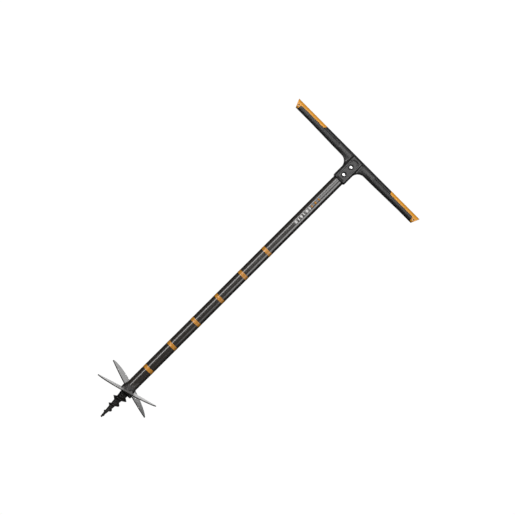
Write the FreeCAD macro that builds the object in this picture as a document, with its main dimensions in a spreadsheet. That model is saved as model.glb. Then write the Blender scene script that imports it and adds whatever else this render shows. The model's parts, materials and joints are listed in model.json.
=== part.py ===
import FreeCAD, Part
import math
import os
import Sketcher
from FreeCAD import Placement, Rotation, Vector

# Hand earth auger: a T-handled steel shaft with depth marks, and a head of two sloping
# crescent blades above a tapered screw point. Millimetres. The origin is the tip of the
# screw point, +Z runs up the shaft and X runs along the handle.

DOC = FreeCAD.newDocument("earth_auger")
SHEET = DOC.addObject("Spreadsheet::Sheet", "dims")

MARKS = (200, 300, 400, 500, 600, 700)         # the printed scale, named by its depths
RIVET_RISES = (14, 28)                         # of the hub rivets above the end of the tube
RIVET_STEM, RIVET_HEAD, RIVET_DOME = 6.5, 1.6, 5.6
PAD_CORNER = 7                                 # where an insert turns down round the end of a pad
SEAT_ROUND = 12
THREAD_SINK, THREAD_FLAT = 1.2, 1              # into the core, and across the crest
THREAD_HALF_BASE = (2.5, 8)                    # at the lower and upper end
THREAD_LOW = 1                                 # the thread is cut off level this far above the tip

SIZES = [
    # shaft
    ("tube_radius", 17.9),
    ("tube_wall", 1.6),
    ("tube_bottom", 131),
    ("tube_top", 1066),
    ("mark_first", 203),
    ("mark_step", 100),
    ("mark_height", 12),
    ("mark_film", 0.15),
    # handle
    ("handle_top", 1096),
    ("bar_height", 25.7),
    ("bar_middle_height", 28.7),
    ("bar_middle", 60),
    ("bar_taper_end", 190),
    ("bar_depth", 30),
    ("bar_round", 9.5),
    ("bar_half", 256),
    ("end_slant", 11.3),
    ("socket_width", 44.5),
    ("socket_depth", 46),
    ("socket_round", 13),
    ("socket_bottom", 1005.5),
    ("socket_top", 1089),
    ("socket_chamfer", 4),
    ("panel_half", 13.5),
    ("panel_bottom", 1010),
    ("panel_spring", 1070),
    ("panel_line", 2.4),
    ("panel_depth", 1.6),
    ("web_depth", 28),
    ("web_reach", 29),
    ("web_drop", 20),
    ("web_sink", 4),
    ("insert_length", 121.5),
    ("insert_height", 10.5),
    ("insert_slant", 7),
    ("insert_end", 18.6),
    ("pad_inner", 74),
    ("core_depth", 20),
    ("core_bottom", 3.6),
    ("hang_inset", 13.3),
    ("hang_drop", 15.5),
    ("hang_radius", 2.4),
    # handle fastening
    ("bolt_upper", 1058.5),
    ("bolt_lower", 1028),
    ("bolt_radius", 3),
    ("bolt_clear", 0.15),
    ("bolt_head_radius", 5),
    ("bolt_head_height", 3.4),
    ("bolt_recess_radius", 7.3),
    ("bolt_recess_depth", 3),
    ("nut_across", 10),
    ("nut_height", 3.4),
    ("nut_recess_depth", 3.5),
    ("plug_length", 75),
    # hub casting
    ("hub_bottom", 101.5),
    ("hub_radius", 24),
    ("hub_waist", 21.5),
    ("spigot_length", 42),
    ("spigot_gap", 0.05),
    ("seat_half", 22),
    ("seat_reach", 42),
    ("seat_bottom", 102),
    ("rivet_radius", 2.4),
    # blades
    ("blade_level", 113.3),
    ("blade_slope", 16.3),
    ("blade_dish", 3),
    ("blade_thick", 3),
    ("blade_outer", 103.5),
    ("blade_inner_arc", 240),
    ("blade_inner_gap", 3),
    ("blade_notch", 22.8),
    ("blade_half", 99),
    ("blade_bolt_half", 13),
    ("blade_bolt_reach", 31),
    ("blade_bolt_radius", 3),
    ("blade_bolt_length", 9.5),
    ("blade_head_radius", 5),
    ("blade_head_height", 3.2),
    ("washer_radius", 6.2),
    ("washer_thick", 1.2),
    # screw point
    ("screw_neck", 13.2),
    ("screw_neck_height", 9),
    ("screw_tip_radius", 2.6),
    ("screw_core_radius", 12.4),
    ("screw_crest_bottom", 3.2),
    ("screw_crest_growth", 0.225),
    ("screw_pitch", 26),
    ("screw_turns", 3),
    ("screw_start", 7.4),
    ("shank_radius", 8),
    ("shank_length", 26),
    ("cross_pin_radius", 2),
    ("cross_pin_level", 110),
]


def fill_sheet():
    for row, (alias, value) in enumerate(SIZES, start=1):
        SHEET.set(f"A{row}", alias)
        SHEET.set(f"B{row}", str(value))
        SHEET.setAlias(f"B{row}", alias)
    DOC.recompute()


fill_sheet()


def size(alias):
    return float(SHEET.get(alias))


def bind(thing, **expressions):
    """Ties properties to the sheet; a double underscore in a keyword stands for the dot of a path."""
    for path, expression in expressions.items():
        thing.setExpression(path.replace("__", "."), expression)


def origin_plane(body, role):
    return next(f for f in body.Origin.OriginFeatures if f.Role == role)


def new_body(label):
    body = DOC.addObject("PartDesign::Body", label)
    body.Label = label
    return body


def new_sketch(body, name, role, offset=None):
    sketch = body.newObject("Sketcher::SketchObject", name)
    sketch.AttachmentSupport = [(origin_plane(body, role), "")]
    sketch.MapMode = "FlatFace"
    if offset is not None:
        sketch.AttachmentOffset = offset
    return sketch


def polygon(sketch, points):
    """A closed outline of straight lines; each corner is pinned by its two distances from the axes."""
    first = sketch.GeometryCount
    count = len(points)
    for i, start in enumerate(points):
        end = points[(i + 1) % count]
        sketch.addGeometry(Part.LineSegment(Vector(*start[:2], 0), Vector(*end[:2], 0)), False)
    for i in range(count):
        sketch.addConstraint(Sketcher.Constraint("Coincident", first + i, 2, first + (i + 1) % count, 1))
    return first


def pin_corner(sketch, line, across=None, up=None):
    """Ties the start of a line to the sheet: across and up are expressions, or None to leave free."""
    for kind, expression in (("DistanceX", across), ("DistanceY", up)):
        if expression is None:
            continue
        point = sketch.Geometry[line].StartPoint
        value = point.x if kind == "DistanceX" else point.y
        index = sketch.addConstraint(Sketcher.Constraint(kind, -1, 1, line, 1, value))
        sketch.setExpression(f"Constraints[{index}]", expression)


def outline(sketch, corners):
    """corners: (x value, y value, x expression, y expression) in order around the outline."""
    first = polygon(sketch, corners)
    for i, corner in enumerate(corners):
        pin_corner(sketch, first + i, corner[2], corner[3])
    return first


def circle(sketch, x, y, radius, across, up, radius_expression):
    line = sketch.addGeometry(Part.Circle(Vector(x, y, 0), Vector(0, 0, 1), radius), False)
    index = sketch.addConstraint(Sketcher.Constraint("Radius", line, radius))
    sketch.setExpression(f"Constraints[{index}]", radius_expression)
    for kind, value, expression in (("DistanceX", x, across), ("DistanceY", y, up)):
        index = sketch.addConstraint(Sketcher.Constraint(kind, -1, 1, line, 3, value))
        sketch.setExpression(f"Constraints[{index}]", expression)
    return line


def rounded_rectangle(sketch, wide, tall, radius, middle, names):
    """A rectangle with four equal round corners, centred at (0, middle); names are its expressions."""
    half, low, high, r = wide / 2, middle - tall / 2, middle + tall / 2, radius
    lines = [
        ((-half + r, low), (half - r, low)),
        ((half, low + r), (half, high - r)),
        ((half - r, high), (-half + r, high)),
        ((-half, high - r), (-half, low + r)),
    ]
    centres = [(half - r, low + r, -90), (half - r, high - r, 0), (-half + r, high - r, 90),
               (-half + r, low + r, 180)]
    for start, end in lines:
        sketch.addGeometry(Part.LineSegment(Vector(*start, 0), Vector(*end, 0)), False)
    for x, y, turn in centres:
        round_corner = Part.Circle(Vector(x, y, 0), Vector(0, 0, 1), r)
        sketch.addGeometry(Part.ArcOfCircle(round_corner, math.radians(turn), math.radians(turn + 90)), False)
    for i in range(4):
        sketch.addConstraint(Sketcher.Constraint("Tangent", i, 2, 4 + i, 1))
        sketch.addConstraint(Sketcher.Constraint("Tangent", 4 + i, 2, (i + 1) % 4, 1))
    for line in (0, 2):
        sketch.addConstraint(Sketcher.Constraint("Horizontal", line))
    for line in (1, 3):
        sketch.addConstraint(Sketcher.Constraint("Vertical", line))
    for i in (1, 2, 3):
        sketch.addConstraint(Sketcher.Constraint("Equal", 4, 4 + i))
    driven = [
        ("Radius", (4,), r, names["radius"]),
        ("DistanceX", (-1, 1, 1, 1), half, names["half"]),
        ("DistanceX", (3, 1, -1, 1), half, names["half"]),
        ("DistanceY", (-1, 1, 0, 1), low, names["low"]),
        ("DistanceY", (-1, 1, 2, 1), high, names["high"]),
    ]
    for kind, where, value, expression in driven:
        index = sketch.addConstraint(Sketcher.Constraint(kind, *where, value))
        sketch.setExpression(f"Constraints[{index}]", expression)


def arch(sketch, half, bottom, spring, half_name, bottom_name, spring_name):
    """A round-headed outline centred on x = 0."""
    ring = Part.Circle(Vector(0, spring, 0), Vector(0, 0, 1), half)
    head = sketch.addGeometry(Part.ArcOfCircle(ring, 0, math.pi), False)
    corners = [Vector(half, spring, 0), Vector(half, bottom, 0), Vector(-half, bottom, 0),
               Vector(-half, spring, 0)]
    right, foot, left = [sketch.addGeometry(Part.LineSegment(start, end), False)
                         for start, end in zip(corners, corners[1:])]
    sketch.addConstraint([
        Sketcher.Constraint("Tangent", head, 1, right, 1),
        Sketcher.Constraint("Tangent", left, 2, head, 2),
        Sketcher.Constraint("Coincident", right, 2, foot, 1),
        Sketcher.Constraint("Coincident", foot, 2, left, 1),
        Sketcher.Constraint("Horizontal", foot),
        Sketcher.Constraint("Vertical", right),
        Sketcher.Constraint("PointOnObject", head, 3, -2),
    ])
    for kind, where, value, expression in (
            ("Radius", (head,), half, half_name),
            ("DistanceY", (-1, 1, head, 3), spring, spring_name),
            ("DistanceY", (-1, 1, foot, 1), bottom, bottom_name)):
        index = sketch.addConstraint(Sketcher.Constraint(kind, *where, value))
        sketch.setExpression(f"Constraints[{index}]", expression)


def pad(body, sketch, length, midplane=False):
    feature = body.newObject("PartDesign::Pad", sketch.Name + "_pad")
    feature.Profile = sketch
    feature.setExpression("Length", length)
    feature.Midplane = midplane
    DOC.recompute()
    return feature


def pocket(body, sketch, length=None):
    """Cuts right through both ways when no length is given, else backwards from the sketch."""
    before = body.Shape.Volume
    feature = body.newObject("PartDesign::Pocket", sketch.Name + "_cut")
    feature.Profile = sketch
    if length is None:
        feature.Type = "ThroughAll"
        feature.Midplane = True
    else:
        feature.setExpression("Length", length)
    DOC.recompute()
    if not body.Shape.Volume < before - 1:
        raise RuntimeError(f"{feature.Name} cuts nothing")
    return feature


def cylinder(name, radius, height, at=("0", "0", "0"), turn=None):
    """A Part cylinder: expressions for its radius, height and base point; turn is a Rotation."""
    thing = DOC.addObject("Part::Cylinder", name)
    thing.setExpression("Radius", radius)
    thing.setExpression("Height", height)
    if turn is not None:
        thing.Placement = Placement(Vector(0, 0, 0), turn)
    for axis, expression in zip("xyz", at):
        thing.setExpression(f"Placement.Base.{axis}", expression)
    return thing


def boolean(kind, name, base, tool):
    thing = DOC.addObject(f"Part::{kind}", name)
    thing.Base = base
    thing.Tool = tool
    return thing


def fuse(name, parts):
    thing = DOC.addObject("Part::MultiFuse", name)
    thing.Shapes = parts
    return thing


FORWARD = Rotation(Vector(1, 0, 0), 90)       # local +Z of a primitive points to -Y, the front
BACKWARD = Rotation(Vector(1, 0, 0), -90)     # local +Z points to +Y, the back
SUBPARTS = {}


def keep(node, thing):
    thing.Label = node
    SUBPARTS[node] = thing


# ---------------------------------------------------------------- shaft


def shaft_tube():
    body = new_body("shaft_tube")
    ring = new_sketch(body, "tube_ring", "XY_Plane")
    circle(ring, 0, 0, size("tube_radius"), "0", "0", "<<dims>>.tube_radius")
    circle(ring, 0, 0, size("tube_radius") - size("tube_wall"), "0", "0",
           "<<dims>>.tube_radius - <<dims>>.tube_wall")
    bind(ring, AttachmentOffset__Base__z="<<dims>>.tube_bottom")
    pad(body, ring, "<<dims>>.tube_top - <<dims>>.tube_bottom")
    holes = new_sketch(body, "tube_bolt_holes", "XZ_Plane")
    for level in ("bolt_upper", "bolt_lower"):
        circle(holes, 0, size(level), size("bolt_radius") + size("bolt_clear"), "0", f"<<dims>>.{level}",
               "<<dims>>.bolt_radius + <<dims>>.bolt_clear")
    pocket(body, holes)
    rivets = new_sketch(body, "tube_rivet_holes", "XZ_Plane")
    for i, rise in enumerate(RIVET_RISES):
        circle(rivets, 0, size("tube_bottom") + rise, size("rivet_radius"), "0",
               f"<<dims>>.tube_bottom + {rise}", "<<dims>>.rivet_radius")
    pocket(body, rivets, "<<dims>>.tube_radius + 5")
    keep("shaft_tube", body)


def depth_marks():
    """Printed bands, each the film that stands on the tube, one every step up from the point."""
    for i, depth in enumerate(MARKS):
        body = new_body(f"depth_mark_{depth}")
        ring = new_sketch(body, f"mark_ring_{depth}", "XY_Plane")
        inner, film = size("tube_radius"), size("mark_film")
        circle(ring, 0, 0, inner + film, "0", "0", "<<dims>>.tube_radius + <<dims>>.mark_film")
        circle(ring, 0, 0, inner, "0", "0", "<<dims>>.tube_radius")
        bind(ring, AttachmentOffset__Base__z=f"<<dims>>.mark_first + {i} * <<dims>>.mark_step"
                                             " - <<dims>>.mark_height / 2")
        pad(body, ring, "<<dims>>.mark_height")
        keep(f"depth_mark_{depth}", body)


def tube_top_plug():
    """Solid plug that keeps the tube from crushing where the two handle bolts pass."""
    plug = cylinder("plug_blank", "<<dims>>.tube_radius - <<dims>>.tube_wall", "<<dims>>.plug_length",
                    ("0", "0", "<<dims>>.tube_top - <<dims>>.plug_length"))
    holes = [
        cylinder(f"plug_hole_{level}", "<<dims>>.bolt_radius + <<dims>>.bolt_clear", "60",
                 ("0", "30", f"<<dims>>.{level}"), FORWARD)
        for level in ("bolt_upper", "bolt_lower")
    ]
    keep("tube_top_plug", boolean("Cut", "tube_top_plug", plug, fuse("plug_holes", holes)))


# ---------------------------------------------------------------- handle


def handle_blank():
    """The whole outer form of the T handle, before the inserts and pads are parted from it."""
    body = new_body("handle_blank")
    top, tall, deep = size("handle_top"), size("bar_height"), size("bar_depth")
    sections = []
    for place_name, height_name in (
            ("-<<dims>>.bar_half", "bar_height"), ("-<<dims>>.bar_taper_end", "bar_height"),
            ("-<<dims>>.bar_middle", "bar_middle_height"), ("<<dims>>.bar_middle", "bar_middle_height"),
            ("<<dims>>.bar_taper_end", "bar_height"), ("<<dims>>.bar_half", "bar_height")):
        section = new_sketch(body, f"bar_section_{len(sections) + 1}", "YZ_Plane")
        high = size(height_name)
        rounded_rectangle(section, deep, high, size("bar_round"), top - high / 2, {
            "radius": "<<dims>>.bar_round", "half": "<<dims>>.bar_depth / 2",
            "low": f"<<dims>>.handle_top - <<dims>>.{height_name}", "high": "<<dims>>.handle_top"})
        bind(section, AttachmentOffset__Base__z=place_name)
        sections.append(section)
    DOC.recompute()
    bar = body.newObject("PartDesign::AdditiveLoft", "bar_loft")
    bar.Profile = sections[0]
    bar.Sections = sections[1:]
    bar.Ruled = True
    DOC.recompute()

    wide, low = size("socket_width"), size("socket_bottom")
    socket = new_sketch(body, "socket_section", "XY_Plane")
    rounded_rectangle(socket, wide, size("socket_depth"), size("socket_round"), 0, {
        "radius": "<<dims>>.socket_round", "half": "<<dims>>.socket_width / 2",
        "low": "-<<dims>>.socket_depth / 2", "high": "<<dims>>.socket_depth / 2"})
    bind(socket, AttachmentOffset__Base__z="<<dims>>.socket_bottom")
    block = pad(body, socket, "<<dims>>.socket_top - <<dims>>.socket_bottom")
    rim = [f"Edge{i}" for i, edge in enumerate(block.Shape.Edges, start=1)
           if abs(edge.CenterOfMass.z - low) < 0.01]
    chamfer = body.newObject("PartDesign::Chamfer", "socket_chamfer")
    chamfer.Base = (block, rim)
    chamfer.setExpression("Size", "<<dims>>.socket_chamfer")
    DOC.recompute()

    webs = new_sketch(body, "web_outline", "XZ_Plane")
    reach, drop, sink = size("web_reach"), size("web_drop"), size("web_sink")
    under = top - size("bar_middle_height")
    for side in (-1, 1):
        wall = side * wide / 2
        points = [
            Vector(wall + side * reach, under, 0),
            Vector(wall + side * reach, under + sink, 0),
            Vector(wall - side * sink, under + sink, 0),
            Vector(wall - side * sink, under - drop, 0),
            Vector(wall, under - drop, 0),
        ]
        for start, end in zip(points, points[1:]):
            webs.addGeometry(Part.LineSegment(start, end), False)
        curve = 1 - math.sqrt(0.5)
        middle = Vector(wall + side * reach * curve, under - drop * curve, 0)
        webs.addGeometry(Part.Arc(points[-1], middle, points[0]), False)
    pad(body, webs, "<<dims>>.web_depth", midplane=True)

    panel = new_sketch(body, "panel_groove", "XZ_Plane")
    line, foot, spring = size("panel_line"), size("panel_bottom"), size("panel_spring")
    for inset, less, more in ((0, "", ""), (line, " - <<dims>>.panel_line", " + <<dims>>.panel_line")):
        arch(panel, size("panel_half") - inset, foot + inset, spring,
             "<<dims>>.panel_half" + less, "<<dims>>.panel_bottom" + more, "<<dims>>.panel_spring")
    bind(panel, AttachmentOffset__Base__z="<<dims>>.socket_depth / 2")
    pocket(body, panel, "<<dims>>.panel_depth")

    slants = new_sketch(body, "end_slants", "XZ_Plane")
    half, slant = size("bar_half"), size("end_slant")
    for side in (-1, 1):
        sign = "-" if side < 0 else ""
        outline(slants, [
            (side * half, top + 5, f"{sign}<<dims>>.bar_half", "<<dims>>.handle_top + 5"),
            (side * half, top, f"{sign}<<dims>>.bar_half", "<<dims>>.handle_top"),
            (side * (half - slant), top - tall, f"{sign}(<<dims>>.bar_half - <<dims>>.end_slant)",
             "<<dims>>.handle_top - <<dims>>.bar_height"),
            (side * (half - slant), top - tall - 5, f"{sign}(<<dims>>.bar_half - <<dims>>.end_slant)",
             "<<dims>>.handle_top - <<dims>>.bar_height - 5"),
            (side * (half + 20), top - tall - 5, f"{sign}(<<dims>>.bar_half + 20)",
             "<<dims>>.handle_top - <<dims>>.bar_height - 5"),
            (side * (half + 20), top + 5, f"{sign}(<<dims>>.bar_half + 20)", "<<dims>>.handle_top + 5"),
        ])
    pocket(body, slants)
    return body


def zone(name, corners, inner_corner=None):
    """A slab through the whole depth of the bar with the given front outline, used to part the blank."""
    body = new_body(name)
    front = new_sketch(body, name + "_outline", "XZ_Plane")
    outline(front, corners)
    slab = pad(body, front, "<<dims>>.bar_depth + 30", midplane=True)
    if inner_corner is not None:
        x, z, radius = inner_corner
        names = [
            f"Edge{i}" for i, edge in enumerate(slab.Shape.Edges, start=1)
            if all(abs(v.X - x) < 0.01 and abs(v.Z - z) < 0.01 for v in edge.Vertexes)
        ]
        rounding = body.newObject("PartDesign::Fillet", name + "_round")
        rounding.Base = (slab, names)
        rounding.Radius = radius
        DOC.recompute()
    return body


def mirrored(side, expression):
    return expression if side > 0 else f"-({expression})"


def insert_zone(side):
    top, half = size("handle_top"), size("bar_half")
    under = top - size("insert_height")
    inner, end = half - size("insert_length"), half - size("insert_end")
    outer = mirrored(side, "<<dims>>.bar_half + 8")
    under_name = "<<dims>>.handle_top - <<dims>>.insert_height"
    low_name = "<<dims>>.handle_top - <<dims>>.bar_height - 5"
    top_name = "<<dims>>.handle_top + 5"
    inner_name = mirrored(side, "<<dims>>.bar_half - <<dims>>.insert_length")
    slant_name = mirrored(side, "<<dims>>.bar_half - <<dims>>.insert_length + <<dims>>.insert_slant")
    end_name = mirrored(side, "<<dims>>.bar_half - <<dims>>.insert_end")
    low = top - size("bar_height") - 5
    return zone(f"insert_zone_{'right' if side > 0 else 'left'}", [
        (side * (half + 8), top + 5, outer, top_name),
        (side * inner, top + 5, inner_name, top_name),
        (side * inner, top, inner_name, "<<dims>>.handle_top"),
        (side * (inner + size("insert_slant")), under, slant_name, under_name),
        (side * end, under, end_name, under_name),
        (side * end, low, end_name, low_name),
        (side * (half + 8), low, outer, low_name),
    ], inner_corner=(side * end, under, PAD_CORNER))


def pad_zone(side):
    top, half = size("handle_top"), size("bar_half")
    under, low = top - size("insert_height"), top - size("bar_height") - 5
    end, inner = half - size("insert_end"), size("pad_inner")
    under_name = "<<dims>>.handle_top - <<dims>>.insert_height"
    low_name = "<<dims>>.handle_top - <<dims>>.bar_height - 5"
    end_name = mirrored(side, "<<dims>>.bar_half - <<dims>>.insert_end")
    inner_name = mirrored(side, "<<dims>>.pad_inner")
    return zone(f"pad_zone_{'right' if side > 0 else 'left'}", [
        (side * inner, low, inner_name, low_name),
        (side * end, low, end_name, low_name),
        (side * end, under, end_name, under_name),
        (side * inner, under, inner_name, under_name),
    ])


def grip_core():
    """The tongue of the handle body that runs inside both grips."""
    core = DOC.addObject("Part::Box", "grip_core")
    core.setExpression("Length", "2 * <<dims>>.bar_half")
    core.setExpression("Width", "<<dims>>.core_depth")
    core.setExpression("Height", "<<dims>>.bar_height")
    core.setExpression("Placement.Base.x", "-<<dims>>.bar_half")
    core.setExpression("Placement.Base.y", "-<<dims>>.core_depth / 2")
    core.setExpression("Placement.Base.z",
                       "<<dims>>.handle_top - <<dims>>.bar_height + <<dims>>.core_bottom")
    return core


def grips_and_handle_body():
    blank = handle_blank()
    core = grip_core()
    parted = []
    for side, word in ((-1, "left"), (1, "right")):
        whole = insert_zone(side)
        hang_hole = cylinder(f"hang_hole_{word}", "<<dims>>.hang_radius", "60", (
            mirrored(side, "<<dims>>.bar_half - <<dims>>.hang_inset"), "30",
            "<<dims>>.handle_top - <<dims>>.hang_drop"), FORWARD)
        piece = boolean("Common", f"insert_form_{word}", blank, whole)
        insert = boolean("Cut", f"grip_insert_{word}", piece, hang_hole)
        keep(f"grip_insert_{word}", insert)
        wrap = boolean("Common", f"pad_form_{word}", blank, pad_zone(side))
        grip = boolean("Cut", f"grip_pad_{word}", wrap, fuse(f"pad_cutters_{word}", [core, whole]))
        keep(f"grip_pad_{word}", grip)
        parted += [whole, grip]
    cutters = [fuse("parted_pieces", parted)]
    cutters.append(cylinder("tube_socket", "<<dims>>.tube_radius", "<<dims>>.tube_top - 900",
                            ("0", "0", "900")))
    for level in ("bolt_upper", "bolt_lower"):
        at = ("0", "40", f"<<dims>>.{level}")
        cutters.append(cylinder(f"socket_hole_{level}", "<<dims>>.bolt_radius + <<dims>>.bolt_clear",
                                "80", at, FORWARD))
        cutters.append(cylinder(
            f"head_recess_{level}", "<<dims>>.bolt_recess_radius", "20",
            ("0", "-(<<dims>>.socket_depth / 2 - <<dims>>.bolt_recess_depth)", f"<<dims>>.{level}"), FORWARD))
        cutters.append(cylinder(
            f"nut_recess_{level}", "<<dims>>.bolt_recess_radius", "20",
            ("0", "<<dims>>.socket_depth / 2 - <<dims>>.nut_recess_depth", f"<<dims>>.{level}"), BACKWARD))
    keep("handle_body", boolean("Cut", "handle_body", blank, fuse("handle_cutters", cutters)))


# ---------------------------------------------------------------- fasteners


def hexagon(name, across, height, base="0"):
    prism = DOC.addObject("Part::Prism", name)
    prism.Polygon = 6
    prism.setExpression("Circumradius", f"({across}) / sqrt(3)")
    prism.setExpression("Height", height)
    prism.setExpression("Placement.Base.z", base)
    return prism


def button_bolt(node, radius, length, head_radius, head_height, key):
    """Domed head above z = 0 with a hexagon key hole, shank below it."""
    head = cylinder(node + "_head", head_radius, head_height)
    DOC.recompute()
    rim = [i for i, edge in enumerate(head.Shape.Edges, start=1)
           if edge.Closed and edge.CenterOfMass.z > head.Height.Value / 2]
    dome = DOC.addObject("Part::Fillet", node + "_dome")
    dome.Base = head
    soft = 0.7 * head.Height.Value
    dome.Edges = [(i, soft, soft) for i in rim]
    shank = cylinder(node + "_shank", radius, length, ("0", "0", f"-({length})"))
    hole = hexagon(node + "_key", key, head_height, f"({head_height}) * 0.45")
    return boolean("Cut", node, fuse(node + "_solid", [dome, shank]), hole)


def hex_nut(node, across, height, radius):
    block = hexagon(node + "_block", across, height)
    bore = cylinder(node + "_bore", radius, height)
    return boolean("Cut", node, block, bore)


def place(thing, rotation, at):
    thing.Placement = Placement(Vector(0, 0, 0), rotation)
    for axis, expression in zip("xyz", at):
        thing.setExpression(f"Placement.Base.{axis}", expression)


def handle_fasteners():
    grip = ("<<dims>>.socket_depth - <<dims>>.bolt_recess_depth - <<dims>>.nut_recess_depth"
            " + <<dims>>.nut_height")
    for word in ("upper", "lower"):
        level = f"<<dims>>.bolt_{word}"
        bolt = button_bolt(f"handle_bolt_{word}", "<<dims>>.bolt_radius", grip,
                           "<<dims>>.bolt_head_radius", "<<dims>>.bolt_head_height", "4")
        place(bolt, FORWARD, ("0", "-(<<dims>>.socket_depth / 2 - <<dims>>.bolt_recess_depth)", level))
        keep(f"handle_bolt_{word}", bolt)
        nut = hex_nut(f"handle_nut_{word}", "<<dims>>.nut_across", "<<dims>>.nut_height",
                      "<<dims>>.bolt_radius")
        place(nut, BACKWARD, ("0", "<<dims>>.socket_depth / 2 - <<dims>>.nut_recess_depth", level))
        keep(f"handle_nut_{word}", nut)


def hub_rivets():
    """Two blind rivets through the back of the tube into the hub's spigot."""
    for i, rise in enumerate(RIVET_RISES, start=1):
        stem = cylinder(f"rivet_stem_{i}", "<<dims>>.rivet_radius", f"{RIVET_STEM + RIVET_HEAD / 2}")
        dome = DOC.addObject("Part::Sphere", f"rivet_dome_{i}")
        dome.Radius = RIVET_DOME
        dome.Placement = Placement(Vector(0, 0, RIVET_STEM + RIVET_HEAD - RIVET_DOME), Rotation())
        slab = cylinder(f"rivet_slab_{i}", "10", "10", ("0", "0", str(RIVET_STEM)))
        rivet = fuse(f"hub_rivet_{i}", [stem, boolean("Common", f"rivet_head_{i}", dome, slab)])
        place(rivet, BACKWARD, ("0", f"<<dims>>.tube_radius - {RIVET_STEM}",
                                f"<<dims>>.tube_bottom + {rise}"))
        keep(f"hub_rivet_{i}", rivet)


# ---------------------------------------------------------------- head


def blade_frame(side):
    """Frame of a blade: its middle plane is z = 0 and its outer edge lies towards local -Y."""
    slope = Rotation(Vector(0, 1, 0), -size("blade_slope"))
    dish = Rotation(Vector(1, 0, 0), -size("blade_dish"))
    turn = Rotation(Vector(0, 0, 1), 0 if side > 0 else 180)
    return Placement(Vector(0, 0, size("blade_level")), turn.multiply(slope).multiply(dish))


def in_blade_frame(side, local):
    return blade_frame(side).multiply(local)


def blade(node, side):
    """A crescent: the part of a disc round the shaft that a wider arc leaves, notched for the hub."""
    body = new_body(node)
    form = new_sketch(body, node + "_form", "XY_Plane")
    outer, wide, gap = size("blade_outer"), size("blade_inner_arc"), size("blade_inner_gap")
    half = size("blade_half")
    rim_y = -math.sqrt(outer ** 2 - half ** 2)
    inner_y = -(gap + wide) + math.sqrt(wide ** 2 - half ** 2)
    rim = Part.Arc(Vector(-half, rim_y, 0), Vector(0, -outer, 0), Vector(half, rim_y, 0))
    inner = Part.Arc(Vector(half, inner_y, 0), Vector(0, -gap, 0), Vector(-half, inner_y, 0))
    left_end = Part.LineSegment(Vector(-half, inner_y, 0), Vector(-half, rim_y, 0))
    right_end = Part.LineSegment(Vector(half, rim_y, 0), Vector(half, inner_y, 0))
    form.addGeometry([rim, inner, left_end, right_end], False)
    form.addConstraint([
        Sketcher.Constraint("Coincident", 0, 1, 2, 2),
        Sketcher.Constraint("Coincident", 0, 2, 3, 1),
        Sketcher.Constraint("Coincident", 1, 1, 3, 2),
        Sketcher.Constraint("Coincident", 1, 2, 2, 1),
        Sketcher.Constraint("Vertical", 2),
        Sketcher.Constraint("Vertical", 3),
        Sketcher.Constraint("Coincident", 0, 3, -1, 1),
        Sketcher.Constraint("PointOnObject", 1, 3, -2),
    ])
    for kind, where, value, expression in (
            ("Radius", (0,), outer, "<<dims>>.blade_outer"),
            ("Radius", (1,), wide, "<<dims>>.blade_inner_arc"),
            ("DistanceX", (2, 1, -1, 1), half, "<<dims>>.blade_half"),
            ("DistanceX", (-1, 1, 3, 1), half, "<<dims>>.blade_half"),
            ("DistanceY", (1, 3, -1, 1), gap + wide, "<<dims>>.blade_inner_gap + <<dims>>.blade_inner_arc")):
        index = form.addConstraint(Sketcher.Constraint(kind, *where, value))
        form.setExpression(f"Constraints[{index}]", expression)
    bind(form, AttachmentOffset__Base__z="-<<dims>>.blade_thick / 2")
    pad(body, form, "<<dims>>.blade_thick")

    holes = new_sketch(body, node + "_holes", "XY_Plane")
    circle(holes, 0, 0, size("blade_notch"), "0", "0", "<<dims>>.blade_notch")
    for way in (-1, 1):
        circle(holes, way * size("blade_bolt_half"), -size("blade_bolt_reach"),
               size("blade_bolt_radius") + size("bolt_clear"),
               mirrored(way, "<<dims>>.blade_bolt_half"), "-<<dims>>.blade_bolt_reach",
               "<<dims>>.blade_bolt_radius + <<dims>>.bolt_clear")
    pocket(body, holes)
    body.Placement = blade_frame(side)
    keep(node, body)


def blade_fasteners(side, word):
    for way, hand in ((-1, "left"), (1, "right")):
        at = Vector(way * size("blade_bolt_half"), -size("blade_bolt_reach"), 0)
        face = size("blade_thick") / 2
        washer_blank = cylinder(f"washer_blank_{word}_{hand}", "<<dims>>.washer_radius",
                                "<<dims>>.washer_thick")
        washer_bore = cylinder(f"washer_bore_{word}_{hand}", "<<dims>>.blade_bolt_radius",
                               "<<dims>>.washer_thick")
        washer = boolean("Cut", f"blade_washer_{word}_{hand}", washer_blank, washer_bore)
        washer.Placement = in_blade_frame(side, Placement(at + Vector(0, 0, face), Rotation()))
        keep(f"blade_washer_{word}_{hand}", washer)
        bolt = button_bolt(f"blade_bolt_{word}_{hand}", "<<dims>>.blade_bolt_radius",
                           "<<dims>>.blade_bolt_length", "<<dims>>.blade_head_radius",
                           "<<dims>>.blade_head_height", "4")
        under_head = face + size("washer_thick")
        bolt.Placement = in_blade_frame(side, Placement(at + Vector(0, 0, under_head), Rotation()))
        keep(f"blade_bolt_{word}_{hand}", bolt)


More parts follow.
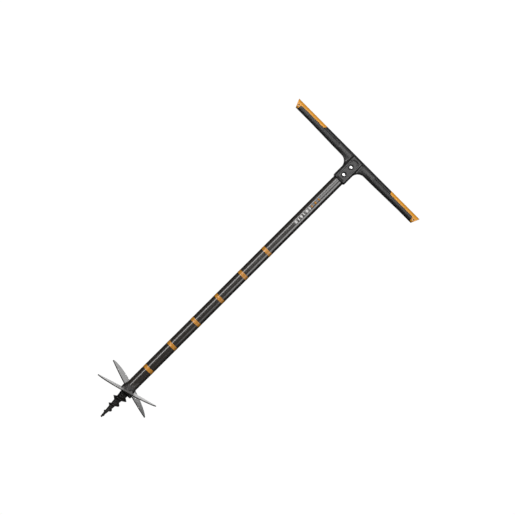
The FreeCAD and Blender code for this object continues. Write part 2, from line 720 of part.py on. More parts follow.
def hub_turned():
    """The turned form of the hub: flange, flared collar and the spigot that fills the tube's end."""
    body = new_body("hub_turned")
    half = new_sketch(body, "hub_half", "XZ_Plane")
    spigot = "<<dims>>.tube_radius - <<dims>>.tube_wall - <<dims>>.spigot_gap"
    spigot_r = size("tube_radius") - size("tube_wall") - size("spigot_gap")
    bottom, shank = size("hub_bottom"), size("shank_radius")
    shoulder, end = size("tube_bottom"), size("tube_bottom") + size("spigot_length")
    shank_end = bottom + size("shank_length")
    wide, waist, tube = size("hub_radius"), size("hub_waist"), size("tube_radius")
    low, top = "<<dims>>.hub_bottom", "<<dims>>.tube_bottom + <<dims>>.spigot_length"
    outline(half, [
        (shank, bottom, "<<dims>>.shank_radius", low),
        (wide, bottom, "<<dims>>.hub_radius", low),
        (wide, bottom + 3.5, "<<dims>>.hub_radius", low + " + 3.5"),
        (waist + 0.7, bottom + 6, "<<dims>>.hub_waist + 0.7", low + " + 6"),
        (waist, bottom + 14, "<<dims>>.hub_waist", low + " + 14"),
        (tube + 0.8, shoulder - 4, "<<dims>>.tube_radius + 0.8", "<<dims>>.tube_bottom - 4"),
        (tube, shoulder, "<<dims>>.tube_radius", "<<dims>>.tube_bottom"),
        (spigot_r, shoulder, spigot, "<<dims>>.tube_bottom"),
        (spigot_r, end, spigot, top),
        (spigot_r - 4.5, end, spigot + " - 4.5", top),
        (spigot_r - 4.5, shoulder + 6, spigot + " - 4.5", "<<dims>>.tube_bottom + 6"),
        (0, shoulder + 6, "0", "<<dims>>.tube_bottom + 6"),
        (0, shank_end, "0", low + " + <<dims>>.shank_length"),
        (shank, shank_end, "<<dims>>.shank_radius", low + " + <<dims>>.shank_length"),
    ])
    turned = body.newObject("PartDesign::Revolution", "hub_revolve")
    turned.Profile = half
    turned.ReferenceAxis = (half, ["V_Axis"])
    turned.Angle = 360
    DOC.recompute()
    return body


def hub_seat(side, word):
    """A block on one side of the hub, its top cut to the slope of the blade that lies on it."""
    body = new_body(f"seat_block_{word}")
    profile = new_sketch(body, f"seat_profile_{word}", "YZ_Plane")
    reach, bottom = size("seat_reach"), size("seat_bottom")
    outline(profile, [
        (0, bottom, "0", "<<dims>>.seat_bottom"),
        (0, bottom + 40, "0", "<<dims>>.seat_bottom + 40"),
        (-reach, bottom + 40, "-<<dims>>.seat_reach", "<<dims>>.seat_bottom + 40"),
        (-reach, bottom + 5, "-<<dims>>.seat_reach", "<<dims>>.seat_bottom + 5"),
        (-reach + 18, bottom, "-<<dims>>.seat_reach + 18", "<<dims>>.seat_bottom"),
    ])
    block = pad(body, profile, "2 * <<dims>>.seat_half", midplane=True)
    corners = [f"Edge{i}" for i, edge in enumerate(block.Shape.Edges, start=1)
               if all(abs(v.Y + reach) < 0.01 for v in edge.Vertexes)
               and abs(edge.Vertexes[0].X - edge.Vertexes[-1].X) < 0.01]
    rounding = body.newObject("PartDesign::Fillet", f"seat_round_{word}")
    rounding.Base = (block, corners)
    rounding.Radius = SEAT_ROUND
    DOC.recompute()
    under = DOC.addObject("Part::Box", f"under_blade_{word}")
    under.Length, under.Width, under.Height = 200, 200, 80
    local = Placement(Vector(-100, -100, -80 - size("blade_thick") / 2), Rotation())
    under.Placement = in_blade_frame(1, local)
    seat = boolean("Common", f"seat_{word}", body, under)
    seat.Placement = Placement(Vector(0, 0, 0), Rotation(Vector(0, 0, 1), 0 if side > 0 else 180))
    return seat


def hub_casting():
    whole = fuse("hub_whole", [hub_turned(), hub_seat(1, "front"), hub_seat(-1, "rear")])
    cutters = [cylinder("hub_shank_bore", "<<dims>>.shank_radius", "<<dims>>.shank_length",
                        ("0", "0", "<<dims>>.hub_bottom"))]
    for side, word in ((1, "front"), (-1, "rear")):
        for way, hand in ((-1, "left"), (1, "right")):
            depth = size("blade_bolt_length") - size("washer_thick") - size("blade_thick") / 2 + 1.5
            hole = cylinder(f"hub_thread_{word}_{hand}", "<<dims>>.blade_bolt_radius", str(depth))
            at = Vector(way * size("blade_bolt_half"), -size("blade_bolt_reach"), -depth)
            hole.Placement = in_blade_frame(side, Placement(at, Rotation()))
            cutters.append(hole)
    cutters.append(cylinder("hub_pin_hole", "<<dims>>.cross_pin_radius", "80",
                            ("-40", "0", "<<dims>>.cross_pin_level"), Rotation(Vector(0, 1, 0), 90)))
    for i, rise in enumerate(RIVET_RISES, start=1):
        cutters.append(cylinder(f"hub_rivet_hole_{i}", "<<dims>>.rivet_radius", "20",
                                ("0", "5", f"<<dims>>.tube_bottom + {rise}"), BACKWARD))
    keep("hub_casting", boolean("Cut", "hub_casting", whole, fuse("hub_cutters", cutters)))


def cross_pin():
    pin = cylinder("screw_cross_pin", "<<dims>>.cross_pin_radius", "2 * <<dims>>.hub_waist",
                   ("-<<dims>>.hub_waist", "0", "<<dims>>.cross_pin_level"), Rotation(Vector(0, 1, 0), 90))
    keep("screw_cross_pin", pin)


def thread_section(angle, level, half_base):
    """The thread's V at one point of the helix, its base sunk a little into the core."""
    outward = Vector(math.cos(angle), math.sin(angle), 0)
    root = core_radius(level) - THREAD_SINK
    crest = size("screw_crest_bottom") + size("screw_crest_growth") * level
    corners = [
        outward * root + Vector(0, 0, level - half_base),
        outward * crest + Vector(0, 0, level - THREAD_FLAT / 2),
        outward * crest + Vector(0, 0, level + THREAD_FLAT / 2),
        outward * root + Vector(0, 0, level + half_base),
    ]
    return Part.makePolygon(corners + [corners[0]])


def core_radius(level):
    tip, top = size("screw_tip_radius"), size("screw_core_radius")
    return tip + (top - tip) * level / (size("hub_bottom") - size("screw_neck_height"))


def screw_thread():
    pitch, turns, start = size("screw_pitch"), size("screw_turns"), size("screw_start")
    end = start + pitch * turns
    growth = (core_radius(end) - core_radius(start)) / (end - start)
    helix = Part.makeHelix(pitch, end - start, core_radius(start), math.degrees(math.atan(growth)))
    helix.translate(Vector(0, 0, start))
    sweep = Part.BRepOffsetAPI.MakePipeShell(helix)
    sweep.setBiNormalMode(Vector(0, 0, 1))
    sweep.add(thread_section(0, start, THREAD_HALF_BASE[0]), False, False)
    sweep.add(thread_section(2 * math.pi * turns, end, THREAD_HALF_BASE[1]), False, False)
    sweep.build()
    sweep.makeSolid()
    return sweep.shape()


def screw_point():
    """Tapered core with a growing V thread, a neck, and the shank that sits in the hub."""
    neck_bottom = size("hub_bottom") - size("screw_neck_height")
    core = DOC.addObject("Part::Cone", "screw_core")
    core.setExpression("Radius1", "<<dims>>.screw_tip_radius")
    core.setExpression("Radius2", "<<dims>>.screw_core_radius")
    core.setExpression("Height", "<<dims>>.hub_bottom - <<dims>>.screw_neck_height")
    neck = cylinder("screw_neck_form", "<<dims>>.screw_neck", "<<dims>>.screw_neck_height",
                    ("0", "0", "<<dims>>.hub_bottom - <<dims>>.screw_neck_height"))
    shank = cylinder("screw_shank", "<<dims>>.shank_radius", "<<dims>>.shank_length - 0.5",
                     ("0", "0", "<<dims>>.hub_bottom"))
    thread = DOC.addObject("Part::Feature", "screw_thread")
    form = screw_thread()
    trim = Part.makeCylinder(40, neck_bottom + size("screw_neck_height") / 2 - THREAD_LOW,
                             Vector(0, 0, THREAD_LOW))
    thread.Shape = form.common(trim)
    pin_hole = cylinder("screw_pin_hole", "<<dims>>.cross_pin_radius", "80",
                        ("-40", "0", "<<dims>>.cross_pin_level"), Rotation(Vector(0, 1, 0), 90))
    whole = fuse("screw_whole", [core, neck, shank, thread])
    keep("screw_point", boolean("Cut", "screw_point", whole, pin_hole))


def check():
    """Stops on any object that failed to rebuild, and on any sub-part that isn't one valid solid."""
    for thing in DOC.Objects:
        if any(word in thing.State for word in ("Invalid", "Error")):
            raise RuntimeError(f"{thing.Name} failed: {thing.State}")
    for node, thing in SUBPARTS.items():
        shape = thing.Shape
        if shape.isNull() or not shape.isValid() or len(shape.Solids) != 1:
            raise RuntimeError(f"{node} is not one valid solid ({len(shape.Solids)} solids)")


def write_steps():
    os.makedirs("parts", exist_ok=True)
    for node, thing in SUBPARTS.items():
        thing.Shape.exportStep(os.path.join("parts", node + ".step"))


def main():
    shaft_tube()
    depth_marks()
    tube_top_plug()
    grips_and_handle_body()
    handle_fasteners()
    hub_casting()
    hub_rivets()
    cross_pin()
    screw_point()
    for side, word in ((1, "front"), (-1, "rear")):
        blade(f"blade_{word}", side)
        blade_fasteners(side, word)
    DOC.recompute()
    check()
    write_steps()
    for node, thing in SUBPARTS.items():
        box = thing.Shape.BoundBox
        print(f"{node:24s} {thing.Shape.Volume:10.1f} mm3"
              f"  z {box.ZMin:7.1f} to {box.ZMax:7.1f}  x {box.XMin:7.1f} to {box.XMax:7.1f}"
              f"  y {box.YMin:6.1f} to {box.YMax:6.1f}")


main()
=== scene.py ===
import json
import math

import bmesh
import bpy
from mathutils import Matrix, Vector

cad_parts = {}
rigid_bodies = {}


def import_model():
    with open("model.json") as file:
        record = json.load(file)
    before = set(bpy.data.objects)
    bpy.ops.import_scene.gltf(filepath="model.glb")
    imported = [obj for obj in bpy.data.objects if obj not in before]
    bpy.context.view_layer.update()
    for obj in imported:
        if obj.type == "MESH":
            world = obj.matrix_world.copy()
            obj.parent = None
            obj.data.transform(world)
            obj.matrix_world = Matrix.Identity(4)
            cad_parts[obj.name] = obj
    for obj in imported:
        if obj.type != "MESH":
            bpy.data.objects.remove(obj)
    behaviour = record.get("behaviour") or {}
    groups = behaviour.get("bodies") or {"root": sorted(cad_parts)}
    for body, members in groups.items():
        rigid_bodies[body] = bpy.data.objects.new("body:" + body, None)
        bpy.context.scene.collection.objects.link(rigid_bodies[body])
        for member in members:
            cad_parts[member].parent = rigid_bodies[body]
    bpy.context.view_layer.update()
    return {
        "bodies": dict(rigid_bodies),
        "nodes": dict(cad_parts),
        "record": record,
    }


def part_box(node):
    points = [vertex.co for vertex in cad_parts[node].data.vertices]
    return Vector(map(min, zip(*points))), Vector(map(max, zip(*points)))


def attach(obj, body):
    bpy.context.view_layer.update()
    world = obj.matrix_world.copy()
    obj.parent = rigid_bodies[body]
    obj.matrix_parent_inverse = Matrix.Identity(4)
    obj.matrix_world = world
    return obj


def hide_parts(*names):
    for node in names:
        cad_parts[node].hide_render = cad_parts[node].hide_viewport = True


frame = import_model()
NODES = frame["nodes"]
ROOT = next(iter(frame["bodies"]))
SLOT_OF = {part["node"]: part["material_slot"] for part in frame["record"]["subparts"]}
HANDLE_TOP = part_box("handle_body")[1][2]
TUBE_RADIUS = (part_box("shaft_tube")[1][0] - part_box("shaft_tube")[0][0]) / 2
BLADE_SLOPE = math.radians(16.3)    # the front blade rises to the right, the rear one to the left

# ---------------------------------------------------------------- stage, lights and camera

CAMERA_AWAY = 4.1
CAMERA_HEIGHT = 0.6706
CAMERA_ACROSS = -0.0065
CAMERA_ROLL = math.radians(45.09)
FRAME_WIDTH = 1.54779      # metres across the picture at the shaft
WHITE_PAPER = 1.02         # what the camera sees of the backdrop and the floor
ROOM_BEHIND = 0.03         # strength of the room behind the tool
ROOM_IN_FRONT = 0.42       # and in front of it
ROOM_ON_MATT = 0.35        # the share of it that lights matt colours; reflections get it all
FLOOR_REACH = 60
FLOOR_DROP = 0.004         # the floor lies this far below the screw point

PRINT_PROUD = 0.00008      # the printed patches stand this far off the tube
PRINT_THICK = 0.0001
PRINT_STEP = 0.0006        # width of one facet of a patch
WEB_FROM, WEB_TO = 0.0175, 0.068    # the webs between socket and bar, out from the middle
WEB_CLEAR = 0.004          # kept from the bar's top and from the middle plane


def make_camera():
    data = bpy.data.cameras.new("camera")
    data.sensor_width = 36
    data.lens = data.sensor_width * CAMERA_AWAY / FRAME_WIDTH
    data.clip_end = 200
    camera = bpy.data.objects.new("camera", data)
    bpy.context.scene.collection.objects.link(camera)
    level = Matrix.Rotation(math.radians(90), 4, "X")
    roll = Matrix.Rotation(CAMERA_ROLL, 4, "Z")
    place = Matrix.Translation((CAMERA_ACROSS, -CAMERA_AWAY, CAMERA_HEIGHT))
    camera.matrix_world = place @ level @ roll
    bpy.context.scene.camera = camera


def sun(name, energy, angle, azimuth, elevation):
    """A wide soft light far away that leaves no glint; azimuth 0 is in front, 90 to the right."""
    data = bpy.data.lights.new(name, "SUN")
    data.energy = energy
    data.angle = math.radians(angle)
    lamp = bpy.data.objects.new(name, data)
    bpy.context.scene.collection.objects.link(lamp)
    a, e = math.radians(azimuth), math.radians(elevation)
    towards = Vector((math.sin(a) * math.cos(e), -math.cos(a) * math.cos(e), math.sin(e)))
    lamp.rotation_euler = towards.to_track_quat("Z", "Y").to_euler()
    lamp.visible_glossy = False


def panel(name, azimuth, away, low, high, wide, power):
    """An upright soft panel that faces the shaft: seen in reflections, no light on matt colours."""
    data = bpy.data.lights.new(name, "AREA")
    data.shape = "RECTANGLE"
    data.size, data.size_y = wide, high - low
    data.energy = power
    lamp = bpy.data.objects.new(name, data)
    bpy.context.scene.collection.objects.link(lamp)
    a, middle = math.radians(azimuth), (low + high) / 2
    lamp.location = (away * math.sin(a), -away * math.cos(a), middle)
    inwards = Vector((0, 0, middle)) - lamp.location
    lamp.rotation_euler = inwards.to_track_quat("-Z", "Y").to_euler()
    lamp.visible_camera = False
    lamp.visible_diffuse = False


def make_lights():
    """The right-hand panels grow brighter upwards, so the tube does too."""
    sun("key", 4.6, 40, -14, 18)
    sun("back_fill", 1.7, 20, 168, 8)
    panel("strip_left", -39, 0.9, 0.0, 1.45, 0.22, 9.5)
    panel("front_upper", 0, 2.8, 1.0, 1.9, 2.0, 29)
    for low, high, power in ((0.1, 0.45, 2.16), (0.45, 0.8, 6.075), (0.8, 1.9, 29.7)):
        panel(f"right_{low}", 54, 2.6, low, high, 1.4, power)
    panel("back_low", -173.5, 2.6, 0.1, 0.75, 1.3, 2.9)
    panel("back_high", -173.5, 2.6, 0.75, 1.7, 1.3, 1.9)


def make_world():
    """White to the camera; to everything else a room that is brighter in front than behind."""
    world = bpy.data.worlds.new("studio")
    bpy.context.scene.world = world
    world.use_nodes = True
    nodes, links = world.node_tree.nodes, world.node_tree.links
    nodes.clear()
    out = nodes.new("ShaderNodeOutputWorld")
    mix = nodes.new("ShaderNodeMixShader")
    seen = nodes.new("ShaderNodeLightPath")
    room = nodes.new("ShaderNodeBackground")
    room.inputs["Color"].default_value = (0.96, 0.97, 1.0, 1)
    white = nodes.new("ShaderNodeBackground")
    white.inputs["Color"].default_value = (1, 1, 1, 1)
    white.inputs["Strength"].default_value = WHITE_PAPER
    links.new(seen.outputs["Is Camera Ray"], mix.inputs[0])
    facing = nodes.new("ShaderNodeSeparateXYZ")
    fade = nodes.new("ShaderNodeMapRange")
    fade.inputs["From Min"].default_value = 0.0
    fade.inputs["From Max"].default_value = -0.5
    fade.inputs["To Min"].default_value = ROOM_BEHIND
    fade.inputs["To Max"].default_value = ROOM_IN_FRONT
    links.new(nodes.new("ShaderNodeTexCoord").outputs["Generated"], facing.inputs[0])
    links.new(facing.outputs["Y"], fade.inputs["Value"])
    dim = nodes.new("ShaderNodeMapRange")
    dim.inputs["To Min"].default_value = 1.0
    dim.inputs["To Max"].default_value = ROOM_ON_MATT
    links.new(seen.outputs["Is Diffuse Ray"], dim.inputs["Value"])
    strength = nodes.new("ShaderNodeMath")
    strength.operation = "MULTIPLY"
    links.new(fade.outputs[0], strength.inputs[0])
    links.new(dim.outputs[0], strength.inputs[1])
    links.new(strength.outputs[0], room.inputs["Strength"])
    links.new(room.outputs[0], mix.inputs[1])
    links.new(white.outputs[0], mix.inputs[2])
    links.new(mix.outputs[0], out.inputs[0])


def make_floor():
    """Paper that looks white but throws little light back up, as in a cut-out product picture."""
    mesh = bpy.data.meshes.new("floor")
    far = FLOOR_REACH
    corners = [(-far, -far, 0), (far, -far, 0), (far, far, 0), (-far, far, 0)]
    mesh.from_pydata(corners, [], [(0, 1, 2, 3)])
    floor = bpy.data.objects.new("floor", mesh)
    floor.location.z = -FLOOR_DROP
    bpy.context.scene.collection.objects.link(floor)
    m = bpy.data.materials.new("floor_paper")
    m.use_nodes = True
    nodes, links = m.node_tree.nodes, m.node_tree.links
    nodes.clear()
    out = nodes.new("ShaderNodeOutputMaterial")
    mix = nodes.new("ShaderNodeMixShader")
    seen = nodes.new("ShaderNodeLightPath")
    paper = nodes.new("ShaderNodeBsdfDiffuse")
    paper.inputs["Color"].default_value = (0.05, 0.05, 0.05, 1)
    glow = nodes.new("ShaderNodeEmission")
    glow.inputs["Color"].default_value = (1, 1, 1, 1)
    glow.inputs["Strength"].default_value = WHITE_PAPER
    links.new(seen.outputs["Is Camera Ray"], mix.inputs[0])
    links.new(paper.outputs[0], mix.inputs[1])
    links.new(glow.outputs[0], mix.inputs[2])
    links.new(mix.outputs[0], out.inputs[0])
    mesh.materials.append(m)


# ---------------------------------------------------------------- materials


class Surface:
    """A Principled material and short ways to add the nodes that vary it."""

    def __init__(self, name, metallic=0.0, round_edges=0.0008, **constants):
        self.material = bpy.data.materials.new(name)
        self.material.use_nodes = True
        tree = self.material.node_tree
        self.nodes, self.links = tree.nodes, tree.links
        self.shader = self.nodes["Principled BSDF"]
        self.shader.inputs["Metallic"].default_value = metallic
        for socket, value in constants.items():
            self.shader.inputs[socket.replace("_", " ")].default_value = value
        self.coordinates = self.nodes.new("ShaderNodeTexCoord").outputs["Object"]
        self.rounding = self.nodes.new("ShaderNodeBevel")
        self.rounding.samples = 6
        self.rounding.inputs["Radius"].default_value = round_edges
        self.normal = self.rounding.outputs[0]
        self.links.new(self.normal, self.shader.inputs["Normal"])

    def edges(self):
        """1 on sharp edges, 0 on flat and gently curved faces."""
        true_normal = self.nodes.new("ShaderNodeNewGeometry").outputs["Normal"]
        dot = self.nodes.new("ShaderNodeVectorMath")
        dot.operation = "DOT_PRODUCT"
        self.links.new(true_normal, dot.inputs[0])
        self.links.new(self.rounding.outputs[0], dot.inputs[1])
        spread = self.nodes.new("ShaderNodeMapRange")
        spread.inputs["From Min"].default_value = 0.995
        spread.inputs["From Max"].default_value = 0.9
        self.links.new(dot.outputs["Value"], spread.inputs["Value"])
        return spread.outputs[0]

    def across(self, axis):
        """1 on the faces that stand square to the given direction, 0 on those that face it."""
        dot = self.nodes.new("ShaderNodeVectorMath")
        dot.operation = "DOT_PRODUCT"
        self.links.new(self.nodes.new("ShaderNodeNewGeometry").outputs["Normal"], dot.inputs[0])
        dot.inputs[1].default_value = axis
        spread = self.nodes.new("ShaderNodeMapRange")
        spread.inputs["From Min"].default_value = 0.96
        spread.inputs["From Max"].default_value = 0.82
        self.links.new(self.math("ABSOLUTE", dot.outputs["Value"], 0), spread.inputs["Value"])
        return spread.outputs[0]

    def stretched(self, scale):
        mapping = self.nodes.new("ShaderNodeMapping")
        mapping.inputs["Scale"].default_value = scale
        self.links.new(self.coordinates, mapping.inputs["Vector"])
        return mapping.outputs[0]

    def noise(self, scale, detail=4, rough=0.55, stretch=(1, 1, 1)):
        node = self.nodes.new("ShaderNodeTexNoise")
        node.inputs["Scale"].default_value = scale
        node.inputs["Detail"].default_value = detail
        node.inputs["Roughness"].default_value = rough
        self.links.new(self.stretched(stretch), node.inputs["Vector"])
        return node.outputs["Fac"]

    def ramp(self, value, stops):
        """stops: (position, colour)."""
        node = self.nodes.new("ShaderNodeValToRGB")
        elements = node.color_ramp.elements
        while len(elements) < len(stops):
            elements.new(0.5)
        for element, (position, colour) in zip(elements, stops):
            element.position = position
            element.color = (*colour, 1)
        self.links.new(value, node.inputs[0])
        return node.outputs["Color"]

    def math(self, operation, a, b):
        node = self.nodes.new("ShaderNodeMath")
        node.operation = operation
        for socket, value in zip(node.inputs, (a, b)):
            if isinstance(value, (int, float)):
                socket.default_value = value
            else:
                self.links.new(value, socket)
        return node.outputs[0]

    def blend(self, amount, a, b):
        """Colour a where amount is 0 and b where it is 1."""
        node = self.nodes.new("ShaderNodeMix")
        node.data_type = "RGBA"
        self.links.new(amount, node.inputs[0])
        for socket, value in ((node.inputs[6], a), (node.inputs[7], b)):
            if isinstance(value, tuple):
                socket.default_value = (*value, 1)
            else:
                self.links.new(value, socket)
        return node.outputs[2]

    def colour(self, value):
        self.links.new(value, self.shader.inputs["Base Color"])

    def roughness(self, value, low, high):
        node = self.nodes.new("ShaderNodeMapRange")
        self.links.new(value, node.inputs["Value"])
        node.inputs["To Min"].default_value = low
        node.inputs["To Max"].default_value = high
        self.links.new(node.outputs[0], self.shader.inputs["Roughness"])

    def bump(self, height, depth, strength):
        node = self.nodes.new("ShaderNodeBump")
        node.inputs["Distance"].default_value = depth
        node.inputs["Strength"].default_value = strength
        self.links.new(height, node.inputs["Height"])
        self.links.new(self.normal, node.inputs["Normal"])
        self.normal = node.outputs[0]
        self.links.new(self.normal, self.shader.inputs["Normal"])

    def worn(self, base, tint, grain=180):
        """base with its sharp edges rubbed to tint, more in some places than in others."""
        patches = self.math("MULTIPLY", self.edges(), self.noise(grain, 4))
        return self.blend(self.math("MULTIPLY", patches, 0.9), base, tint)


def moulded_black():
    s = Surface("moulded_black", round_edges=0.0016, Specular_IOR_Level=0.3)
    tone = s.ramp(s.noise(9, 3), [(0.3, (0.011, 0.0108, 0.0112)), (0.7, (0.017, 0.0165, 0.0165))])
    s.colour(s.worn(tone, (0.06, 0.058, 0.056)))
    s.roughness(s.noise(40, 4), 0.26, 0.34)
    s.bump(s.noise(1500, 2), 0.00002, 0.35)
    return s.material


def soft_pad():
    s = Surface("soft_pad", round_edges=0.0014, Specular_IOR_Level=0.3)
    tone = s.ramp(s.noise(14, 3), [(0.3, (0.009, 0.009, 0.0095)), (0.7, (0.014, 0.0138, 0.0138))])
    s.colour(s.worn(tone, (0.04, 0.039, 0.038)))
    s.roughness(s.noise(60, 3), 0.36, 0.46)
    s.bump(s.noise(1200, 3), 0.00003, 0.5)
    return s.material


def orange_plastic():
    s = Surface("orange_plastic", round_edges=0.0012, Specular_IOR_Level=0.4)
    tone = s.ramp(s.noise(11, 3), [(0.3, (0.42, 0.178, 0.012)), (0.7, (0.49, 0.208, 0.016))])
    s.colour(s.worn(tone, (0.74, 0.38, 0.07)))
    s.roughness(s.noise(50, 3), 0.34, 0.46)
    s.bump(s.noise(1200, 2), 0.00002, 0.4)
    return s.material


def coated_tube():
    s = Surface("coated_tube", round_edges=0.0005, Specular_IOR_Level=0.3, Coat_Weight=0.7,
                Coat_Roughness=0.07)
    tone = s.ramp(s.noise(6, 4, stretch=(1, 1, 0.3)),
                  [(0.3, (0.013, 0.0108, 0.009)), (0.7, (0.018, 0.0152, 0.0128))])
    s.colour(s.worn(tone, (0.2, 0.19, 0.18)))
    s.roughness(s.noise(30, 4, stretch=(1, 1, 0.2)), 0.3, 0.4)
    s.bump(s.noise(300, 2), 0.00001, 0.4)
    return s.material


def printed_ink(name, low, high):
    s = Surface(name, round_edges=0.0002, Specular_IOR_Level=0.5)
    tone = s.ramp(s.noise(90, 4), [(0.3, low), (0.7, high)])
    s.colour(s.worn(tone, (0.3, 0.2, 0.12), 400))
    s.roughness(s.noise(60, 3), 0.3, 0.42)
    s.bump(s.noise(600, 2), 0.00001, 0.4)
    return s.material


def cast_black():
    s = Surface("cast_black", round_edges=0.0012, Specular_IOR_Level=0.4)
    patch = s.noise(22, 5)
    tone = s.ramp(patch, [(0.3, (0.007, 0.0066, 0.0064)), (0.62, (0.013, 0.012, 0.0115)),
                          (0.8, (0.024, 0.022, 0.021))])
    s.colour(s.worn(tone, (0.11, 0.1, 0.095), 120))
    s.roughness(s.noise(80, 4), 0.42, 0.6)
    s.bump(s.noise(220, 4), 0.00008, 0.5)
    return s.material


def blade_steel(way):
    """Satin steel ground along the blade, its cut edges painted near-black as shade; way is 1 in
    front, -1 behind.
    """
    s = Surface("blade_steel_" + ("front" if way > 0 else "rear"), metallic=0.8, round_edges=0.0003)
    brushed = s.noise(60, 5, 0.6, stretch=(1, 26, 26))
    cloud = s.noise(10, 3)
    tone = s.ramp(s.math("ADD", s.math("MULTIPLY", brushed, 0.2), s.math("MULTIPLY", cloud, 0.8)),
                  [(0.3, (0.44, 0.435, 0.43)), (0.7, (0.68, 0.675, 0.67))])
    upright = (-way * math.sin(BLADE_SLOPE), 0, math.cos(BLADE_SLOPE))
    # painted shade: the cut edges, square to the blade's face, are coloured near-black
    s.colour(s.blend(s.across(upright), tone, (0.012, 0.011, 0.01)))
    s.roughness(brushed, 0.26, 0.38)
    s.bump(brushed, 0.00001, 0.3)
    return s.material


def zinc():
    s = Surface("zinc", metallic=0.85, round_edges=0.0004)
    tone = s.ramp(s.noise(120, 4), [(0.3, (0.78, 0.785, 0.79)), (0.7, (0.9, 0.9, 0.89))])
    s.colour(s.worn(tone, (0.95, 0.95, 0.94), 400))
    s.roughness(s.noise(200, 3), 0.3, 0.42)
    s.bump(s.noise(600, 2), 0.00001, 0.4)
    return s.material


def black_bolt():
    s = Surface("black_bolt", metallic=0.6, round_edges=0.0004)
    tone = s.ramp(s.noise(120, 4), [(0.3, (0.05, 0.049, 0.048)), (0.7, (0.09, 0.088, 0.086))])
    s.colour(s.worn(tone, (0.4, 0.39, 0.38), 400))
    s.roughness(s.noise(200, 3), 0.28, 0.4)
    s.bump(s.noise(600, 2), 0.00001, 0.4)
    return s.material


FINISHES = {}


def make_finishes():
    FINISHES.update({
        "handle_black": moulded_black(),
        "grip_orange": orange_plastic(),
        "grip_rubber": soft_pad(),
        "plug_plastic": moulded_black(),
        "tube_graphite": coated_tube(),
        "mark_orange": printed_ink("ink_orange", (0.3, 0.122, 0.006), (0.37, 0.152, 0.01)),
        "print_white": printed_ink("ink_white", (0.38, 0.376, 0.37), (0.5, 0.495, 0.485)),
        "cast_black": cast_black(),
        "blade_steel": blade_steel(1),
        "blade_steel_rear": blade_steel(-1),
        "bolt_zinc": zinc(),
        "bolt_black": black_bolt(),
    })


def paint(node, material):
    mesh = NODES[node].data
    mesh.materials.clear()
    mesh.materials.append(material)
    for polygon in mesh.polygons:
        polygon.material_index = 0


def dress_nodes():
    for node, slot in SLOT_OF.items():
        if node in NODES:
            paint(node, FINISHES[slot])


# ---------------------------------------------------------------- pieces


def add_piece(name, mesh, slot):
    piece = bpy.data.objects.new(name, mesh)
    bpy.context.scene.collection.objects.link(piece)
    mesh.materials.clear()
    mesh.materials.append(FINISHES[slot])
    for polygon in mesh.polygons:
        polygon.material_index = 0
        polygon.use_smooth = True
    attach(piece, ROOT)
    return piece


def refined(node, width):
    """The node's own form with every sharp edge rounded off by a real bevel."""
    work = bmesh.new()
    work.from_mesh(NODES[node].data)
    bmesh.ops.remove_doubles(work, verts=work.verts, dist=1e-6)
    flat = math.radians(0.6)
    bmesh.ops.dissolve_limit(work, angle_limit=flat, verts=work.verts, edges=work.edges)
    mesh = bpy.data.meshes.new(node + "_form")
    work.to_mesh(mesh)
    work.free()
    piece = add_piece(node + "_shape", mesh, SLOT_OF[node])
    bevel = piece.modifiers.new("edges", "BEVEL")
    bevel.width = width
    bevel.segments = 2
    bevel.limit_method = "ANGLE"
    bevel.angle_limit = math.radians(32)
    weigh = piece.modifiers.new("normals", "WEIGHTED_NORMAL")
    weigh.keep_sharp = True
    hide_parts(node)
    return piece


def moulded(node, voxel, passes, soft_region=None, soft_passes=0):
    """The node's own form melted a little, as a moulding or a casting has no sharp line.

    soft_region picks the vertices that are melted further, by soft_passes more.
    """
    source = bpy.data.objects.new("source", NODES[node].data.copy())
    bpy.context.scene.collection.objects.link(source)
    remesh = source.modifiers.new("skin", "REMESH")
    remesh.mode = "VOXEL"
    remesh.voxel_size = voxel
    bpy.context.view_layer.update()
    graph = bpy.context.evaluated_depsgraph_get()
    mesh = bpy.data.meshes.new_from_object(source.evaluated_get(graph), depsgraph=graph)
    bpy.data.objects.remove(source)
    piece = add_piece(node + "_shape", mesh, SLOT_OF[node])
    soften = piece.modifiers.new("soften", "SMOOTH")
    soften.factor = 0.5
    soften.iterations = passes
    if soft_region is not None:
        group = piece.vertex_groups.new(name="soft")
        group.add([v.index for v in mesh.vertices if soft_region(v.co)], 1.0, "REPLACE")
        melt = piece.modifiers.new("melt", "SMOOTH")
        melt.factor = 0.5
        melt.iterations = soft_passes
        melt.vertex_group = "soft"
    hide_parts(node)


def by_the_webs(co):
    """Where the socket flows into the bar, to both sides of the middle plane."""
    beside = WEB_FROM < abs(co.x) < WEB_TO
    return beside and abs(co.y) > WEB_CLEAR and co.z < HANDLE_TOP - WEB_CLEAR


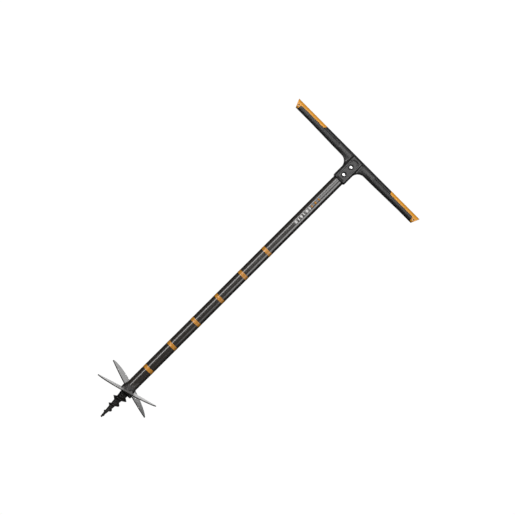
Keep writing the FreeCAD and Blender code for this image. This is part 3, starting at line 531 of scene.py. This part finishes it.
def tube_patch(name, slot, low, high, left, right):
    """A thin printed patch on the tube's front; left and right are arc lengths from its middle."""
    radius = TUBE_RADIUS + PRINT_PROUD
    work = bmesh.new()
    columns = max(2, int((right - left) / PRINT_STEP))
    rings = []
    for skin in (radius - PRINT_THICK, radius):
        for level in (low, high):
            ring = []
            for i in range(columns + 1):
                turn = (left + (right - left) * i / columns) / radius
                ring.append(work.verts.new((skin * math.sin(turn), -skin * math.cos(turn), level)))
            rings.append(ring)
    inner_low, inner_high, outer_low, outer_high = rings
    for i in range(columns):
        work.faces.new((outer_low[i], outer_low[i + 1], outer_high[i + 1], outer_high[i]))
        work.faces.new((inner_low[i + 1], inner_low[i], inner_high[i], inner_high[i + 1]))
        work.faces.new((inner_low[i], inner_low[i + 1], outer_low[i + 1], outer_low[i]))
        work.faces.new((outer_high[i], outer_high[i + 1], inner_high[i + 1], inner_high[i]))
    for i, flip in ((0, False), (columns, True)):
        corners = [inner_low[i], outer_low[i], outer_high[i], inner_high[i]]
        work.faces.new(corners[::-1] if flip else corners)
    bmesh.ops.recalc_face_normals(work, faces=work.faces)
    mesh = bpy.data.meshes.new(name)
    work.to_mesh(mesh)
    work.free()
    return add_piece(name, mesh, slot)


def patch_row(name, slot, level, heights, gap, half):
    """Patches one above the other from level upwards."""
    for i, tall in enumerate(heights):
        tube_patch(f"{name}_{i + 1}", slot, level, level + tall, -half, half)
        level += tall + gap


def print_bars():
    """Plain bars and blocks where the real tube carries lettering."""
    bars = (0.01, 0.005, 0.008, 0.005, 0.01, 0.005)
    patch_row("print_bar", "print_white", 0.8215, bars, 0.0045, 0.0045)
    patch_row("print_block", "mark_orange", 0.8915, (0.005, 0.007, 0.005), 0.0085, 0.0035)


def make_pieces():
    moulded("handle_body", 0.0009, 3, by_the_webs, 160)
    moulded("hub_casting", 0.0008, 5)
    for side in ("left", "right"):
        refined(f"grip_insert_{side}", 0.0007)
        refined(f"grip_pad_{side}", 0.0007)
    refined("blade_front", 0.0003)
    rear = refined("blade_rear", 0.0003)
    rear.data.materials[0] = FINISHES["blade_steel_rear"]
    print_bars()


# ---------------------------------------------------------------- build


bpy.context.scene.view_settings.view_transform = "Standard"
make_camera()
make_lights()
make_world()
make_floor()
make_finishes()
dress_nodes()
make_pieces()
